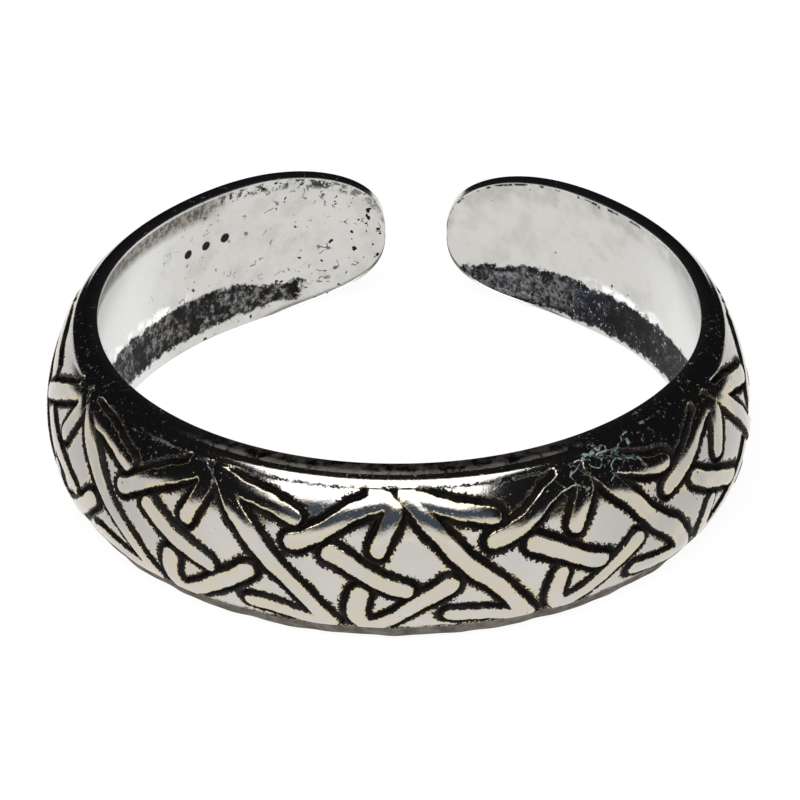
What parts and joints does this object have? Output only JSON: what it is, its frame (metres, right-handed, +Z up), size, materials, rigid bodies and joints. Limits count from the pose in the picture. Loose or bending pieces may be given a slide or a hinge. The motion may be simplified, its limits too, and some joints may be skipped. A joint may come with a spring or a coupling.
{
  "type": "toe ring",
  "caption": "Open toe ring: one domed band with raised interlaced straps outside, a shallow hollow inside, and rounded tips either side of a narrow gap.",
  "frame": {"origin": "the toe hole's axis, where it meets the plane that the ring's lower rim lies on", "axes": "+Z up along the toe hole's axis; -Y towards the front of the band, which is its widest part; +Y towards the gap; +X to the right seen from the front"},
  "size_m": [0.0172, 0.0166, 0.0047],
  "materials": {
    "silver": "polished cast silver, dark with oxide in the sunk parts of the relief"
  },
  "bodies": {
    "root": {"band": "silver"}
  },
  "joints": []
}
